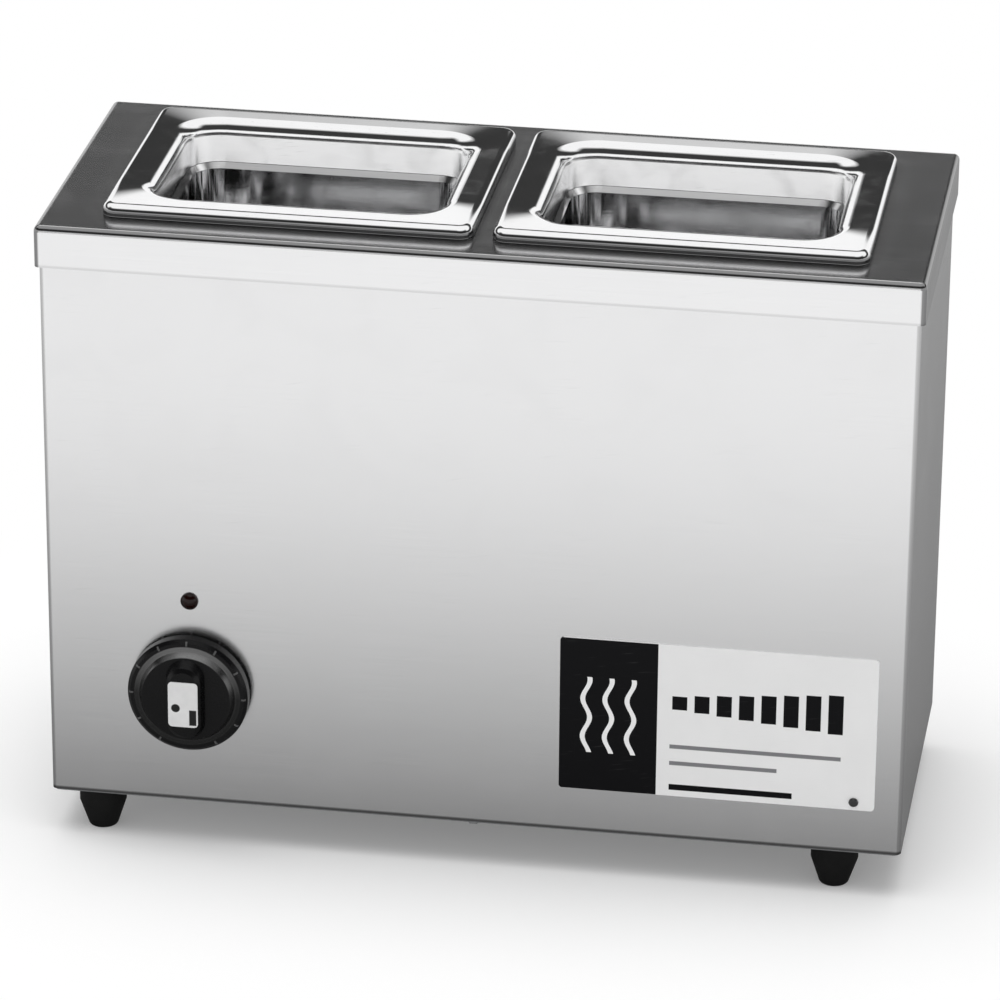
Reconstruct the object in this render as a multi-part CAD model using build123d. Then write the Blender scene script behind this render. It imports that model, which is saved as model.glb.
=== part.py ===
from build123d import *
from math import degrees
import os

# Countertop warmer that keeps two small food pans hot over one heated water tank.
# Millimetres. X runs to the right, Y to the rear and Z up, and the feet stand on Z = 0.

# Casing
cover_width = 420.0
cover_depth = 176.0
body_height = 296.0
foot_height = 23.0
cover_sheet = 1.2
cover_skirt = 20.5
cover_bend = 3.0
cover_edge = 2.9
cover_clearance = 0.8
body_sheet = 1.0
body_bend = 2.5
body_flange = 10.0
base_sheet = 1.0
base_inset = 1.0
panel_sheet = 1.0
panel_overlap = 12.0
rear_frame = 20.0
rear_frame_foot = 22.0
rear_frame_head = 36.0

# Food pans
pan_width = 177.0
pan_length = 140.0
pan_height = 100.0
pan_sheet = 0.8
pan_gap = 9.0
front_land = 18.0
rim_stand = 6.0
rim_flange = 19.5
rim_roll = 4.0
rim_corner = 7.0
pan_lip = 7.0
pan_corner = 16.0
shoulder_drop = 20.8
shoulder_step = 2.5
pan_draft_run = 3.0
pan_foot_bend = 7.0
opening_clearance = 3.0
rest_gap = 0.3

# Water tank
tank_sheet = 1.0
tank_gap = 8.0
tank_corner = 22.0
tank_flange_inset = 3.0
water_space = 40.0
flat_run = 1.0
wide_bend = 3.0
hidden_flat = 0.6

# Heating
element_length = 150.0
element_width = 60.0
element_thickness = 5.0
element_corner = 5.0
post_radius = 2.0
post_length = 9.0
post_inset = 9.0
link_width = 8.0
link_sheet = 1.0
link_drop = 6.5
post_pitch = 24.0
clamp_length = 108.0
clamp_width = 86.0
clamp_sheet = 1.5
clamp_lip = 5.0
clamp_bend = 2.5
stud_radius = 2.0
stud_length = 14.0
stud_inset = 7.0
hole_clearance = 0.2
nut_across = 7.0
nut_height = 3.2

# Insulation and baffle
blanket_thickness = 12.0
blanket_foot = 6.0
blanket_head = 9.0
pad_thickness = 11.0
pad_margin = 14.0
baffle_sheet = 1.0
baffle_lip = 12.0
baffle_edge_gap = 2.0
lead_hole_radius = 7.0
pad_clearance = 2.0

# Thermostat, its dial and bulb
dial_x = -138.0
dial_height = 61.0
thermostat_width = 36.0
thermostat_height = 40.0
thermostat_depth = 30.0
thermostat_corner = 2.0
thermostat_plate = 1.5
thermostat_ear = 8.0
thermostat_screw_pitch = 44.0
thermostat_screw_reach = 2.0
spade_width = 6.3
spade_length = 8.0
spade_sheet = 0.8
spade_pitch = 20.0
shaft_radius = 3.0
shaft_flat = 0.8
shaft_running = 0.05
bush_radius = 5.0
bush_proud = 1.8
dial_gap = 2.5
dial_radius = 29.5
dial_thickness = 6.5
dial_edge = 1.6
dial_hollow = 3.0
crown_radius = 23.5
crown_height = 3.2
crown_slope = 1.8
grip_reach = 19.0
grip_length = 42.0
grip_width = 19.0
grip_taper = 6.0
grip_edge = 1.4
grip_seat = 0.5
dial_wall = 2.5
bore_cover = 2.5
boss_radius = 7.0
insert_length = 23.5
insert_width = 14.5
insert_sheet = 0.5
insert_corner = 2.0
bulb_radius = 3.2
bulb_length = 74.0
capillary_radius = 0.9
capillary_drop_y = -62.0
capillary_rise = 12.0
capillary_bend = 8.0
capillary_hole = 4.0
clip_width = 12.0
clip_sheet = 1.0
clip_ear = 7.0
clip_fit = 0.1
clip_bend = 0.4

# Pilot lamp
lamp_height = 107.5
lamp_radius = 3.6
lamp_flange_radius = 4.3
lamp_flange = 0.8
lamp_dome = 1.8
lamp_stem = 1.0
lamp_body_length = 26.0
lamp_body_radius = 3.2
lamp_nut_across = 12.0
lamp_nut_height = 2.5

# Name plate
plate_width = 152.5
plate_height = 80.0
plate_sheet = 0.5
plate_corner = 2.0
plate_x = 118.3
plate_centre = 63.5
rivet_from_edge = 10.0
rivet_from_foot = 4.2
rivet_head_radius = 2.3
rivet_head = 1.1
rivet_shank_radius = 1.2
rivet_shank = 4.0

# Feet
foot_radius = 11.5
foot_tip_radius = 7.0
foot_straight = 9.5
foot_inset = 15.0
foot_left_x = -186.0
foot_right_x = 175.0
foot_recess_radius = 4.6
foot_recess = 8.0
foot_screw_radius = 2.0
foot_screw_across = 7.0
foot_screw_head = 2.6
foot_screw_reach = 4.0

# Supply entry
bushing_x = -100.0
bushing_height = 38.0
bushing_bore = 4.5
bushing_radius = 8.0
bushing_flange_radius = 11.0
bushing_proud = 4.0
bushing_edge = 1.5
bushing_inner = 9.0
bushing_nut_across = 22.0
bushing_nut_height = 4.0
block_x = -100.0
block_y = 38.0
block_length = 48.0
block_width = 20.0
block_height = 17.0
block_poles = 4
block_pole_pitch = 11.0
block_screw_radius = 2.4
block_way_radius = 2.2
block_way_height = 5.7
block_well = 8.5
block_screw_length = 5.7
earth_x = -40.0
earth_length = 14.0
earth_head = 1.6
earth_head_radius = 3.4

# Sheet metal screws
screw_radius = 1.5
screw_length = 5.0
screw_head_across = 5.5
screw_head = 2.0
flat_head = 1.6
screw_fit = 0.1
rear_screw_rows = 2
base_screw_columns = 1
cover_screw_x = 150.0

# Internal leads
lead_radius = 1.3
lamp_lead_radius = 1.0
lead_bend = 6.0
lamp_lead_bend = 2.5
lamp_lead_pitch = 4.0
lead_grip = 5.0
lead_lane_y = -20.0
lead_step = 14.0
earth_lane_y = 8.0
lead_sides = 8

# Vents
slot_width = 4.0
rear_slot_length = 44.0
rear_slot_count = 7
rear_slot_pitch = 18.0
rear_slot_x = 80.0
base_slot_length = 34.0
base_slot_count = 5
base_slot_pitch = 50.0
base_slot_y = 26.0

# Places that follow from the sizes above
base_z = foot_height
wrap_z = base_z + base_sheet
top_z = base_z + body_height
tank_top = top_z - cover_sheet
wrap_top = tank_top - tank_sheet
cover_inset = cover_sheet + cover_clearance
body_width = cover_width - 2 * cover_inset
body_depth = cover_depth - 2 * cover_inset
front_y = -body_depth / 2
rear_y = body_depth / 2
inner_width = body_width - 2 * body_sheet
inner_depth = body_depth - 2 * body_sheet
rim_top = top_z + rim_stand
pan_bottom = rim_top - pan_height
pan_x = (pan_width + pan_gap) / 2
pan_y = -cover_depth / 2 + front_land + pan_length / 2
pan_wall_width = pan_width - 2 * rim_flange
pan_wall_length = pan_length - 2 * rim_flange
opening_width = pan_wall_width + 2 * (pan_sheet + opening_clearance)
opening_length = pan_wall_length + 2 * (pan_sheet + opening_clearance)
tank_width = 2 * pan_x + pan_wall_width + 2 * (pan_sheet + tank_gap)
tank_length = pan_wall_length + 2 * (pan_sheet + tank_gap)
tank_floor = pan_bottom - water_space
tank_under = tank_floor - tank_sheet
clamp_top = tank_under - element_thickness
stud_foot = tank_under - stud_length
pad_top = stud_foot - pad_clearance
baffle_top = pad_top - pad_thickness
dial_z = base_z + dial_height
lamp_z = base_z + lamp_height
plate_z = base_z + plate_centre
bushing_z = base_z + bushing_height
foot_y = body_depth / 2 - foot_inset
window_low = wrap_z + rear_frame_foot
window_high = wrap_top - rear_frame_head
window_width = body_width - 2 * rear_frame
block_top = wrap_z + block_height
block_way_z = wrap_z + block_way_height
post_x = pan_x - element_length / 2 + post_inset
post_z = clamp_top - post_length
lamp_seat = body_sheet + lamp_nut_height + lamp_stem
lamp_y = front_y + lamp_seat + lamp_body_length
spade_y = front_y + body_sheet + thermostat_plate + thermostat_depth + spade_length
rear_most = rear_y + panel_sheet + bushing_proud
y_shift = -(rear_most + front_y - grip_reach) / 2

upright = (Align.CENTER, Align.CENTER, Align.MIN)
hanging = (Align.CENTER, Align.CENTER, Align.MAX)


def on_front(x, z):
    """Local Z points out of the front face, and local Y points up."""
    return Pos(x, front_y, z) * Rot(90, 0, 0)


def on_rear(x, z):
    """Local Z points out of the rear panel."""
    return Pos(x, rear_y + panel_sheet, z) * Rot(-90, 0, 0)


def pan_places():
    return {"left": -pan_x, "right": pan_x}


def foot_places():
    sides = {"left": foot_left_x, "right": foot_right_x}
    rows = {"front": -foot_y, "rear": foot_y}
    return {f"{row}_{side}": (sides[side], rows[row]) for row in rows for side in sides}


def rear_screw_places():
    x = body_width / 2 - rear_frame / 2 - panel_overlap / 4
    step = (window_high - window_low) / (rear_screw_rows - 1)
    sides = [(s * x, window_low + n * step) for s in (-1, 1) for n in range(rear_screw_rows)]
    return sides + [(0, window_low - panel_overlap / 2), (0, window_high + panel_overlap / 2)]


def base_screw_places():
    y = body_depth / 2 - body_flange / 2 - body_sheet
    step = body_width / (base_screw_columns + 1)
    middle = (base_screw_columns + 1) / 2
    return [((n + 1 - middle) * step, s * y) for s in (-1, 1) for n in range(base_screw_columns)]


def cover_screw_places():
    return [(-cover_screw_x, top_z - cover_skirt / 2), (cover_screw_x, top_z - cover_skirt / 2)]


def post_rows():
    return [pan_y - post_pitch / 2, pan_y + post_pitch / 2]


def pole_x(n):
    return block_x + (n - (block_poles - 1) / 2) * block_pole_pitch


def prism(width, depth, height, corner, align=upright):
    """Upright block with rounded vertical corners."""
    block = extrude(RectangleRounded(width, depth, corner), height)
    return block if align == upright else Pos(0, 0, -height) * block


def bent_strip(points, radii, thickness):
    """Section of a pressed sheet: the points lie on its seen face, and the sheet is on their right.

    Bends are round on the seen face, and wide ones get a flat on the hidden face.
    """
    line = Polyline(*points)
    edge = offset(line, amount=thickness, kind=Kind.INTERSECTION, side=Side.RIGHT, closed=True)
    strip = make_face(edge)
    for point, radius in zip(points[1:-1], radii):
        if radius:
            strip = fillet(strip.vertices().sort_by_distance(point)[0], radius)
        if radius > wide_bend * thickness:
            strip = chamfer(strip.vertices().sort_by_distance(point)[0], hidden_flat * radius)
    return strip


def around(width, depth, corner, section):
    """Carries a section round a rounded rectangle. Its X is the way in and its Y is up."""
    ring = []
    for turn in range(4):
        run, reach = (width, depth) if turn % 2 == 0 else (depth, width)
        run, reach = run / 2 - corner, reach / 2
        start = Plane(origin=(0, -reach, 0), x_dir=(0, 1, 0), z_dir=(1, 0, 0)) * section
        bend = revolve(Pos(run, 0, 0) * start, Axis((run, corner - reach, 0), (0, 0, 1)), 90)
        side = extrude(start, run, both=True) + bend
        ring.append(Rot(0, 0, 90 * turn) * side)
    return Part() + ring


def tube(points, radius, bend):
    """Fine tube or lead along straight runs and bends."""
    section = RegularPolygon(radius, lead_sides)
    pieces = []
    for edge in FilletPolyline(*points, radius=bend).edges():
        start = Plane(origin=edge @ 0, z_dir=edge % 0) * section
        if edge.geom_type == GeomType.LINE:
            pieces.append(extrude(start, edge.length))
        else:
            axis = Axis(edge.arc_center, (edge @ 0 - edge.arc_center).cross(edge % 0))
            pieces.append(revolve(start, axis, degrees(edge.length / bend)))
    return Part() + pieces


def screw(length, radius=screw_radius, across=screw_head_across, head=screw_head):
    """Hexagon head on Z = 0 and up, shank below."""
    top = extrude(RegularPolygon(across / 2, 6, major_radius=False), head)
    return top + Cylinder(radius, length, align=hanging)


def hex_nut(across, height, bore):
    body = extrude(RegularPolygon(across / 2, 6, major_radius=False), height)
    return body - Cylinder(bore, height, align=upright)


def body_wrap():
    """Front, sides and rear frame of folded sheet, with flanges turned in at top and bottom."""
    height = wrap_top - wrap_z
    outer = prism(body_width, body_depth, height, body_bend)
    hollow = prism(inner_width, inner_depth, height - 2 * body_sheet, body_bend - body_sheet)
    shell = outer - Pos(0, 0, body_sheet) * hollow
    window = (inner_width - 2 * body_flange, inner_depth - 2 * body_flange)
    shell -= Box(*window, height, align=upright)
    shell = Pos(0, 0, wrap_z) * shell
    rear = Box(window_width, 4 * body_sheet, window_high - window_low, align=upright)
    shell -= Pos(0, rear_y, window_low) * rear
    for x, z, radius in front_holes():
        shell -= on_front(x, z) * Cylinder(radius, 4 * body_sheet)
    pilot_hole = Cylinder(screw_radius + screw_fit, 4 * body_sheet)
    for x, z in rear_screw_places() + cover_screw_places():
        shell -= Pos(x, rear_y, z) * Rot(90, 0, 0) * pilot_hole
    for x, y in base_screw_places():
        shell -= Pos(x, y, wrap_z) * pilot_hole
    return shell


def front_holes():
    """Each hole in the front face: x, z and radius."""
    half = thermostat_screw_pitch / 2
    screws = [(dial_x + s * half, dial_z, screw_radius + screw_fit) for s in (-1, 1)]
    neck = (dial_x, dial_z, bush_radius + hole_clearance)
    lamp = (dial_x, lamp_z, lamp_radius + hole_clearance)
    rivet = (*rivet_place(), rivet_shank_radius + screw_fit)
    return [neck, lamp, rivet, *screws]


def rivet_place():
    x = plate_x + plate_width / 2 - rivet_from_edge
    z = plate_z - plate_height / 2 + rivet_from_foot
    return x, z


def base_plate():
    plate = prism(body_width - 2 * base_inset, body_depth - 2 * base_inset, base_sheet, body_bend)
    for x, y in foot_places().values():
        plate -= Pos(x, y, 0) * Cylinder(foot_screw_radius + hole_clearance, base_sheet, align=upright)
    for x, y in base_screw_places():
        plate -= Pos(x, y, 0) * Cylinder(screw_radius + screw_fit, base_sheet, align=upright)
    earth = Cylinder(stud_radius + hole_clearance, base_sheet, align=upright)
    plate -= Pos(earth_x, block_y, 0) * earth
    slot = extrude(SlotOverall(base_slot_length, slot_width, rotation=90), base_sheet)
    for n in range(base_slot_count):
        x = (n - (base_slot_count - 1) / 2) * base_slot_pitch
        plate -= Pos(x, -base_slot_y, 0) * slot
    return Pos(0, 0, base_z) * plate


def rear_panel():
    width = window_width + 2 * panel_overlap
    height = window_high - window_low + 2 * panel_overlap
    panel = extrude(RectangleRounded(width, height, body_bend), panel_sheet)
    slot = extrude(SlotOverall(rear_slot_length, slot_width, rotation=90), panel_sheet)
    middle = (window_high + window_low) / 2
    for n in range(rear_slot_count):
        x = rear_slot_x + (n - (rear_slot_count - 1) / 2) * rear_slot_pitch
        panel -= Pos(x, bushing_z - middle + rear_slot_length / 2, 0) * slot
    panel = Pos(0, rear_y + panel_sheet, middle) * Rot(90, 0, 0) * panel
    screw_hole = Cylinder(screw_radius + screw_fit, 4 * panel_sheet)
    for x, z in rear_screw_places():
        panel -= on_rear(x, z) * screw_hole
    inlet = Cylinder(bushing_radius + hole_clearance, 3 * panel_sheet)
    return panel - on_rear(bushing_x, bushing_z) * inlet


def top_cover():
    """Top sheet with a turned-down skirt all round and an opening for each pan."""
    outer = prism(cover_width, cover_depth, cover_skirt, cover_bend)
    outer = fillet(outer.faces().sort_by(Axis.Z)[-1].edges(), cover_edge)
    inner = (cover_width - 2 * cover_sheet, cover_depth - 2 * cover_sheet)
    hollow = prism(*inner, cover_skirt - cover_sheet, cover_bend - cover_sheet)
    cover = Pos(0, 0, top_z - cover_skirt) * (outer - hollow)
    opening_corner = pan_corner + pan_sheet + opening_clearance
    opening = prism(opening_width, opening_length, 2 * cover_skirt, opening_corner)
    for x in pan_places().values():
        cover -= Pos(x, pan_y, top_z - cover_skirt) * opening
    screw_hole = Cylinder(screw_radius + screw_fit, 4 * cover_sheet)
    for x, z in cover_screw_places():
        cover -= Pos(x, cover_depth / 2, z) * Rot(90, 0, 0) * screw_hole
    return cover


def food_pan(x):
    """Deep-drawn pan: rolled rim, flat flange, stacking shoulder and rounded foot."""
    lip_run = pan_lip + flat_run
    floor_v = pan_sheet - pan_height
    foot_u = shoulder_step + pan_draft_run
    floor_u = foot_u + pan_foot_bend + flat_run
    wall = bent_strip(
        [
            (-lip_run, 0),
            (0, 0),
            (0, -shoulder_drop),
            (shoulder_step, -shoulder_drop - shoulder_step),
            (foot_u, floor_v),
            (floor_u, floor_v),
        ],
        [pan_lip, 0, 0, pan_foot_bend],
        pan_sheet,
    )
    pan = around(pan_wall_width, pan_wall_length, pan_corner, wall)
    floor = [size - 2 * floor_u for size in (pan_wall_width, pan_wall_length)]
    pan += Pos(0, 0, -pan_height) * prism(*floor, pan_sheet, pan_corner - floor_u)
    roll_run = rim_roll + flat_run
    roll = bent_strip([(0, rest_gap - rim_stand), (0, 0), (roll_run, 0)], [rim_roll], pan_sheet)
    pan += around(pan_width, pan_length, rim_corner, roll)
    flange = [size - 2 * roll_run for size in (pan_width, pan_length)]
    hole = [size + 2 * lip_run for size in (pan_wall_width, pan_wall_length)]
    flange = prism(*flange, pan_sheet, rim_corner - roll_run, hanging)
    pan += flange - prism(*hole, pan_sheet, pan_corner + lip_run, hanging)
    return Pos(x, pan_y, rim_top) * pan


def water_tank():
    """Welded tank under both pans, hung by its flange between the body and the cover."""
    outer = (tank_width + 2 * tank_sheet, tank_length + 2 * tank_sheet)
    walls = prism(*outer, tank_top - tank_under, tank_corner + tank_sheet)
    hollow = prism(tank_width, tank_length, tank_top - tank_floor, tank_corner)
    flange = Box(
        inner_width - 2 * tank_flange_inset, inner_depth - 2 * tank_flange_inset, tank_sheet, align=hanging
    )
    tank = Pos(0, pan_y, tank_under) * walls + Pos(0, 0, tank_top) * flange
    return tank - Pos(0, pan_y, tank_floor) * hollow


def blanket():
    """Glass-fibre blanket wrapped round the tank walls."""
    inner = (tank_width + 2 * (tank_sheet + rest_gap), tank_length + 2 * (tank_sheet + rest_gap))
    low = tank_floor + blanket_foot
    height = wrap_top - blanket_head - low
    outer = [size + 2 * blanket_thickness for size in inner]
    wrap = prism(*outer, height, tank_corner + blanket_thickness)
    return Pos(0, pan_y, low) * (wrap - prism(*inner, height, tank_corner + tank_sheet + rest_gap))


def lead_holes(height):
    """Ways down for the element leads and the capillary, between the two elements."""
    holes = Pos(0, capillary_drop_y, 0) * Cylinder(capillary_hole, height)
    slot = SlotOverall(post_pitch + 2 * lead_hole_radius, 2 * lead_hole_radius, rotation=90)
    slot = extrude(slot, height / 2, both=True)
    for side in (-1, 1):
        holes += Pos(side * post_x, pan_y, 0) * slot
    return holes


def insulation_pad():
    pad = prism(inner_width - 2 * pad_margin, inner_depth - 2 * baffle_edge_gap, pad_thickness, body_bend)
    return Pos(0, 0, baffle_top) * (pad - lead_holes(4 * pad_thickness))


def heat_baffle():
    """Sheet between the hot tank and the control bay, its ends turned down on the side walls."""
    half = inner_width / 2
    outline = [(-half, -baffle_lip), (-half, 0), (half, 0), (half, -baffle_lip)]
    strip = bent_strip(outline, [body_bend, body_bend], baffle_sheet)
    sheet = extrude(Plane.XZ * strip, inner_depth / 2 - baffle_edge_gap, both=True)
    return Pos(0, 0, baffle_top) * (sheet - lead_holes(4 * baffle_lip))


def heating_element(x):
    """Flat steel-sheathed strip element with two terminal posts at its inner end."""
    sheath = prism(element_length, element_width, element_thickness, element_corner, hanging)
    sheath = Pos(x, pan_y, tank_under) * sheath
    post = Cylinder(post_radius, post_length, align=hanging)
    for y in post_rows():
        sheath += Pos(post_x if x > 0 else -post_x, y, clamp_top) * post
    return sheath


def element_links():
    """Two flat links that join the elements' posts in parallel."""
    reach = 2 * post_x + link_width
    link = extrude(SlotOverall(reach, link_width), -link_sheet)
    for side in (-1, 1):
        link -= Pos(side * post_x, 0, 0) * Cylinder(post_radius + screw_fit, 4 * link_sheet)
    return Compound(children=[Pos(0, y, clamp_top - link_drop) * link for y in post_rows()])


def stud_places(x):
    reach = clamp_width / 2 - stud_inset
    return [(x, pan_y - reach), (x, pan_y + reach)]


def element_clamp(x):
    """Pressed plate that holds an element up against the tank floor."""
    half = clamp_length / 2
    outline = [(-half, -clamp_lip), (-half, 0), (half, 0), (half, -clamp_lip)]
    strip = bent_strip(outline, [clamp_bend, clamp_bend], clamp_sheet)
    plate = Pos(x, pan_y, clamp_top) * extrude(Plane.XZ * strip, clamp_width / 2, both=True)
    for sx, sy in stud_places(x):
        plate -= Pos(sx, sy, clamp_top) * Cylinder(stud_radius + hole_clearance, 4 * clamp_sheet)
    return plate


def clamp_studs():
    stud = Cylinder(stud_radius, stud_length, align=hanging)
    places = [p for x in pan_places().values() for p in stud_places(x)]
    return Compound(children=[Pos(sx, sy, tank_under) * stud for sx, sy in places])


def clamp_nuts():
    nut = hex_nut(nut_across, nut_height, stud_radius + screw_fit)
    low = clamp_top - clamp_sheet - nut_height
    places = [p for x in pan_places().values() for p in stud_places(x)]
    return Compound(children=[Pos(sx, sy, low) * nut for sx, sy in places])


def thermostat():
    """Body on its mounting plate, with the neck round the shaft and two spade terminals."""
    span = thermostat_screw_pitch + 2 * thermostat_ear
    plate = extrude(SlotOverall(span, 2 * thermostat_ear), -thermostat_plate)
    case = prism(thermostat_width, thermostat_height, thermostat_depth, thermostat_corner, hanging)
    unit = plate + Pos(0, 0, -thermostat_plate) * case
    unit += Cylinder(bush_radius, body_sheet + bush_proud, align=upright)
    spade = Box(spade_width, spade_sheet, spade_length, align=hanging)
    for s in (-1, 1):
        unit += Pos(s * spade_pitch / 2, 0, -thermostat_plate - thermostat_depth) * spade
        hole = Cylinder(screw_radius + screw_fit, 4 * thermostat_plate)
        unit -= Pos(s * thermostat_screw_pitch / 2, 0, 0) * hole
    bore = Cylinder(shaft_radius + shaft_running, thermostat_depth + 2 * thermostat_plate)
    unit -= bore
    return on_front(dial_x, dial_z) * Pos(0, 0, -body_sheet) * unit


def shaft_section(radius, flat):
    return Circle(radius) - Pos(0, radius) * Rectangle(4 * radius, 2 * flat)


def thermostat_shaft():
    """Steel spindle with a flat along its outer end."""
    tail = thermostat_depth / 2
    spindle = extrude(Circle(shaft_radius), bush_proud + tail)
    spindle = Pos(0, 0, -tail) * spindle
    reach = grip_reach - insert_sheet - bore_cover - bush_proud - rest_gap
    flatted = extrude(shaft_section(shaft_radius, shaft_flat), reach)
    return on_front(dial_x, dial_z) * (spindle + Pos(0, 0, bush_proud) * flatted)


def dial_knob():
    """Moulded dial: hollow skirt, bevelled crown, tapered grip bar and a D-bored boss."""
    skirt_front = dial_gap + dial_thickness
    crown_front = skirt_front + crown_height
    skirt = Pos(0, 0, dial_gap) * Cylinder(dial_radius, dial_thickness, align=upright)
    skirt = chamfer(skirt.edges().sort_by(Axis.Z)[-1], dial_edge)
    hollow = Cylinder(dial_radius - dial_wall, dial_hollow, align=upright)
    skirt -= Pos(0, 0, dial_gap) * (hollow - Cylinder(boss_radius, dial_hollow, align=upright))
    crown = Cone(crown_radius, crown_radius - crown_slope, crown_height, align=upright)
    crown = Pos(0, 0, skirt_front) * crown
    face = grip_reach - insert_sheet
    grip_root = SlotOverall(grip_length, grip_width, rotation=90)
    grip_face = SlotOverall(grip_length - grip_taper, grip_width - grip_taper / 2, rotation=90)
    grip = loft([Pos(0, 0, crown_front - grip_seat) * grip_root, Pos(0, 0, face) * grip_face])
    grip = chamfer(grip.faces().sort_by(Axis.Z)[-1].edges(), grip_edge)
    knob = skirt + crown + grip
    bore = extrude(shaft_section(shaft_radius + shaft_running, shaft_flat), face - bore_cover - dial_gap)
    return on_front(dial_x, dial_z) * (knob - Pos(0, 0, dial_gap) * bore)


def dial_insert():
    """Bright inlay on the face of the grip bar."""
    inlay = extrude(RectangleRounded(insert_width, insert_length, insert_corner), insert_sheet)
    return on_front(dial_x, dial_z) * Pos(0, 0, grip_reach - insert_sheet) * inlay


def sensing_bulb():
    """Liquid-filled bulb held along the tank floor between the two elements."""
    bulb = Pos(0, pan_y, tank_under - bulb_radius) * Rot(90, 0, 0) * Cylinder(bulb_radius, bulb_length)
    return chamfer(bulb.edges().filter_by(GeomType.CIRCLE), bulb_radius / 3)


def capillary():
    """Fine tube from the bulb, forward and down through the baffle, to the thermostat."""
    z = tank_under - bulb_radius
    low = dial_z + thermostat_height / 2
    points = [
        (0, pan_y - bulb_length / 2, z),
        (0, capillary_drop_y, z),
        (0, capillary_drop_y, low + capillary_rise),
        (dial_x, capillary_drop_y, low + capillary_rise),
        (dial_x, capillary_drop_y, low),
    ]
    return tube(points, capillary_radius, capillary_bend)


def bulb_clip():
    """Spring strap round the bulb, its ears welded to the tank floor."""
    inner = bulb_radius + clip_fit
    drop = 2 * bulb_radius + clip_fit
    arch = bulb_radius - 2 * clip_fit
    ear = inner + clip_ear
    outline = [(-ear, 0), (-inner, 0), (-inner, -drop), (inner, -drop), (inner, 0), (ear, 0)]
    strip = bent_strip(outline, [clip_bend, arch, arch, clip_bend], clip_sheet)
    strap = extrude(Plane.XZ * strip, clip_width / 2, both=True)
    return Pos(0, pan_y, tank_under) * strap


def pilot_lens():
    """Domed lens with a thin flange on the front face."""
    flange = Cylinder(lamp_flange_radius, lamp_flange, align=upright)
    stem = Cylinder(lamp_radius, lamp_seat, align=hanging)
    sphere_radius = (lamp_radius**2 + lamp_dome**2) / (2 * lamp_dome)
    dome = Pos(0, 0, lamp_flange + lamp_dome - sphere_radius) * Sphere(sphere_radius)
    dome &= Pos(0, 0, lamp_flange) * Cylinder(lamp_radius, lamp_dome, align=upright)
    return on_front(dial_x, lamp_z) * (flange + stem + dome)


def pilot_lamp():
    body = Cylinder(lamp_body_radius, lamp_body_length, align=hanging)
    return on_front(dial_x, lamp_z) * Pos(0, 0, -lamp_seat) * body


def pilot_nut():
    nut = hex_nut(lamp_nut_across, lamp_nut_height, lamp_radius + screw_fit)
    return on_front(dial_x, lamp_z) * Pos(0, 0, -body_sheet - lamp_nut_height) * nut


def name_plate():
    plate = extrude(RectangleRounded(plate_width, plate_height, plate_corner), plate_sheet)
    x, z = rivet_place()
    hole = Cylinder(rivet_shank_radius + screw_fit, 4 * plate_sheet)
    return on_front(plate_x, plate_z) * (plate - Pos(x - plate_x, z - plate_z, 0) * hole)


def plate_rivet():
    head = Cylinder(rivet_head_radius, rivet_head, align=upright)
    head = chamfer(head.edges().sort_by(Axis.Z)[-1], rivet_head / 2)
    rivet = Pos(0, 0, plate_sheet) * (head + Cylinder(rivet_shank_radius, rivet_shank, align=hanging))
    return on_front(*rivet_place()) * rivet


def rubber_foot(x, y):
    """Tapered foot, recessed underneath for its screw."""
    taper = foot_height - foot_straight
    profile = Polyline(
        (foot_screw_radius + hole_clearance, foot_recess),
        (foot_recess_radius, foot_recess),
        (foot_recess_radius, 0),
        (foot_tip_radius, 0),
        (foot_radius, taper),
        (foot_radius, foot_height),
        (foot_screw_radius + hole_clearance, foot_height),
        (foot_screw_radius + hole_clearance, foot_recess),
    )
    foot = revolve(Plane.XZ * make_face(profile), Axis.Z)
    return Pos(x, y, 0) * foot


def foot_screws():
    """Screws up through the feet, the base plate and the body's lower flange."""
    length = foot_height - foot_recess + base_sheet + foot_screw_reach
    one = Rot(180, 0, 0) * screw(length, foot_screw_radius, foot_screw_across, foot_screw_head)
    return Compound(children=[Pos(x, y, foot_recess) * one for x, y in foot_places().values()])


def cord_bushing():
    """Entry bushing in the rear panel, bored for a supply cord."""
    bushing = Cylinder(bushing_flange_radius, bushing_proud, align=upright)
    bushing = chamfer(bushing.edges().sort_by(Axis.Z)[-1], bushing_edge)
    bushing += Cylinder(bushing_radius, panel_sheet + bushing_inner, align=hanging)
    bore = Cylinder(bushing_bore, 3 * (bushing_inner + bushing_proud))
    return on_rear(bushing_x, bushing_z) * (bushing - bore)


def bushing_nut():
    nut = hex_nut(bushing_nut_across, bushing_nut_height, bushing_radius + screw_fit)
    return on_rear(bushing_x, bushing_z) * Pos(0, 0, -panel_sheet - bushing_nut_height) * nut


def block_screw_places():
    return [(pole_x(n), block_y) for n in range(block_poles)]


def terminal_block():
    """Moulded block with a wire way through each pole and a well for each clamp screw."""
    block = Pos(block_x, block_y, wrap_z) * prism(block_length, block_width, block_height, body_bend)
    way = Box(2 * block_way_radius, 2 * block_width, 2 * block_way_radius)
    for x, y in block_screw_places():
        block -= Pos(x, y, block_way_z) * way
        block -= Pos(x, y, block_top) * Cylinder(block_screw_radius + screw_fit, block_well, align=hanging)
    return block


def block_screws():
    one = Cylinder(block_screw_radius, block_screw_length, align=upright)
    low = block_top - block_well
    return Compound(children=[Pos(x, y, low) * one for x, y in block_screw_places()])


def earth_stud():
    stud = Cylinder(stud_radius, earth_length, align=upright)
    stud += Cylinder(earth_head_radius, earth_head, align=hanging)
    return Pos(earth_x, block_y, base_z) * stud


def earth_nut():
    return Pos(earth_x, block_y, wrap_z) * hex_nut(nut_across, nut_height, stud_radius + screw_fit)


def rear_screws():
    return Compound(children=[on_rear(x, z) * screw(screw_length) for x, z in rear_screw_places()])


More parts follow.
